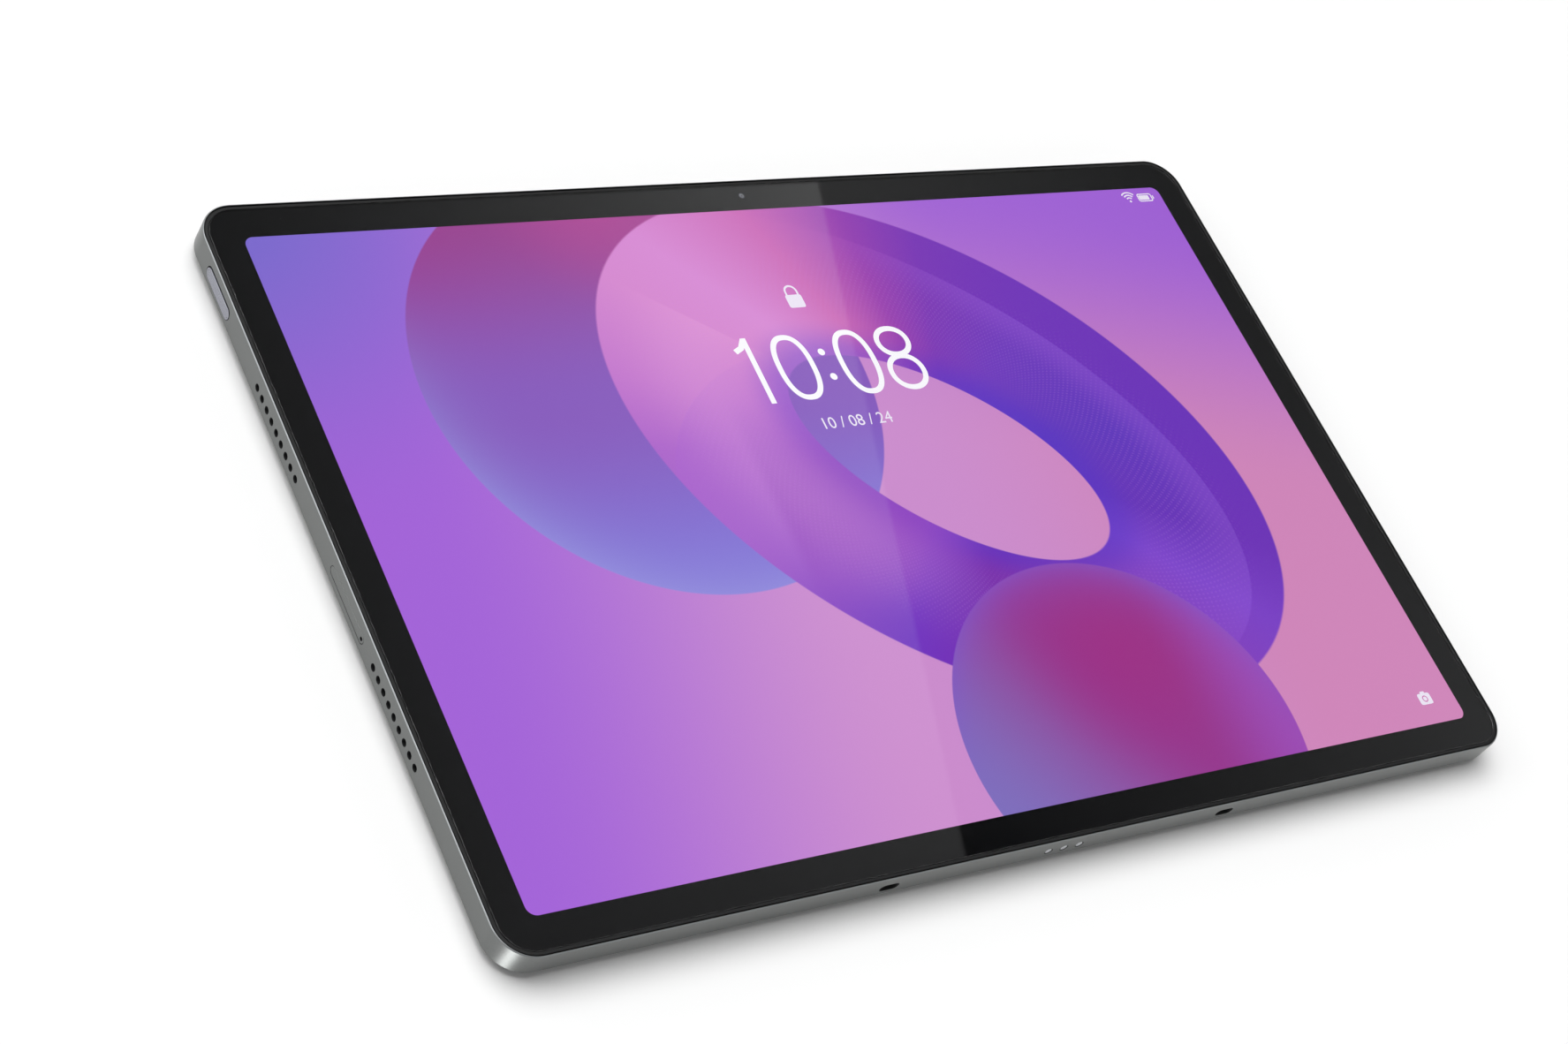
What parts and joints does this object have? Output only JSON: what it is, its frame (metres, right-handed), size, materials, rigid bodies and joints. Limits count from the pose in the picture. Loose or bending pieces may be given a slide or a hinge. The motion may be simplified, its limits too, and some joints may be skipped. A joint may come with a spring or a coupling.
{
  "type": "tablet computer",
  "caption": "Thin metal-bodied tablet computer lying flat, with a full-face glass display, raised rear camera plate, side keys, card tray, speaker grilles and keyboard contacts.",
  "frame": {"origin": "below the middle of the body, level with the rear lens ring, which is the lowest point", "axes": "+X along the long side to the edge with the USB-C port, +Y to the long edge with the front camera, +Z out of the screen"},
  "size_m": [0.2919, 0.1894, 0.0088],
  "materials": {
    "body_metal": "fine blasted and anodised grey",
    "surround_black": "moulded black",
    "adhesive_black": "foam tape",
    "cover_glass": "polished",
    "mask_black": "black print under the glass",
    "display_panel": "lit picture",
    "film_white": "milky",
    "light_guide": "clear acrylic",
    "led_white": "phosphor",
    "sheet_metal": "stamped",
    "battery_pouch": "laminated pouch",
    "tape_white": "double-sided tape",
    "circuit_board": "solder mask",
    "flat_cable": "polyimide film",
    "chip_black": "moulded",
    "graphite_sheet": "graphite film",
    "speaker_plastic": "moulded",
    "speaker_mesh": "fine acoustic mesh",
    "camera_black": "moulded barrel",
    "gold_metal": "plated can",
    "antenna_plastic": "plated carrier",
    "cable_black": "coaxial jacket",
    "plate_metal": "polished, anodised",
    "ring_metal": "turned and polished",
    "lens_glass": "polished",
    "flash_glass": "frosted",
    "flash_yellow": "phosphor under clear dome",
    "badge_metal": "polished",
    "key_metal": "polished edge",
    "fingerprint_gloss": "coated touch surface",
    "pin_steel": "drawn",
    "contact_metal": "plated",
    "magnet_metal": "nickel plated",
    "screw_steel": "black oxide"
  },
  "bodies": {
    "chassis": {"back_shell": "body_metal", "display_surround": "surround_black", "display_adhesive": "adhesive_black", "cover_glass": "cover_glass", "bezel_mask": "mask_black", "lcd_panel": "display_panel", "diffuser_films": "film_white", "light_guide": "light_guide", "led_strip": "led_white", "backlight_tray": "sheet_metal", "battery_cells": "battery_pouch", "battery_adhesive": "tape_white", "battery_board": "circuit_board", "battery_flex": "flat_cable", "main_board": "circuit_board", "board_chips": "chip_black", "board_shields": "sheet_metal", "board_connectors": "chip_black", "thermal_sheet": "graphite_sheet", "usb_board": "circuit_board", "usb_port": "sheet_metal", "usb_flex": "flat_cable", "display_flex": "flat_cable", "camera_flex": "flat_cable", "front_flex": "flat_cable", "speaker_left_upper": "speaker_plastic", "speaker_left_lower": "speaker_plastic", "speaker_right_upper": "speaker_plastic", "speaker_right_lower": "speaker_plastic", "speaker_meshes": "speaker_mesh", "front_camera": "camera_black", "light_sensor": "chip_black", "microphones": "gold_metal", "wifi_antennas": "antenna_plastic", "antenna_cables": "cable_black", "camera_plate": "plate_metal", "lens_ring": "ring_metal", "lens_cover": "lens_glass", "rear_camera": "camera_black", "flash_window": "flash_glass", "flash_led": "flash_yellow", "badge_inlay": "badge_metal", "key_flex": "flat_cable", "key_domes": "sheet_metal", "card_reader": "sheet_metal", "card_board": "circuit_board", "card_flex": "flat_cable", "lever_pin": "pin_steel", "dock_contacts": "contact_metal", "dock_holder": "speaker_plastic", "dock_flex": "flat_cable", "dock_magnets": "magnet_metal", "chassis_screws": "screw_steel"},
    "power_key": {"power_button": "key_metal", "fingerprint_pad": "fingerprint_gloss"},
    "volume_key": {"volume_rocker": "body_metal"},
    "tray": {"card_tray": "body_metal"},
    "rod": {"eject_rod": "pin_steel"},
    "lever": {"eject_lever": "pin_steel"}
  },
  "joints": [
    {"name": "power_press", "type": "slide", "parent": "chassis", "child": "power_key", "axis": [1, 0, 0], "range_m": [0, 0.0003], "stiffness_N_per_m": 1000, "springref_m": -0.0005},
    {"name": "volume_rock", "type": "hinge", "parent": "chassis", "child": "volume_key", "pos_m": [-0.112, 0.09215, 0.0049], "axis": [0, 0, 1], "range_deg": [-1.2, 1.2], "stiffness_Nm_per_rad": 0.05},
    {"name": "tray_slide", "type": "slide", "parent": "chassis", "child": "tray", "axis": [-1, 0, 0], "range_m": [0, 0.024]},
    {"name": "rod_push", "type": "slide", "parent": "chassis", "child": "rod", "axis": [1, 0, 0], "range_m": [0, 0.0012]},
    {"name": "lever_turn", "type": "hinge", "parent": "chassis", "child": "lever", "pos_m": [-0.11765, -0.0085, 0.0051], "axis": [0, 0, 1], "range_deg": [0, 8.6]}
  ],
  "couplings": [
    {"joint": "lever_turn", "follows": "rod_push", "rad_per_m": 123.4}
  ]
}
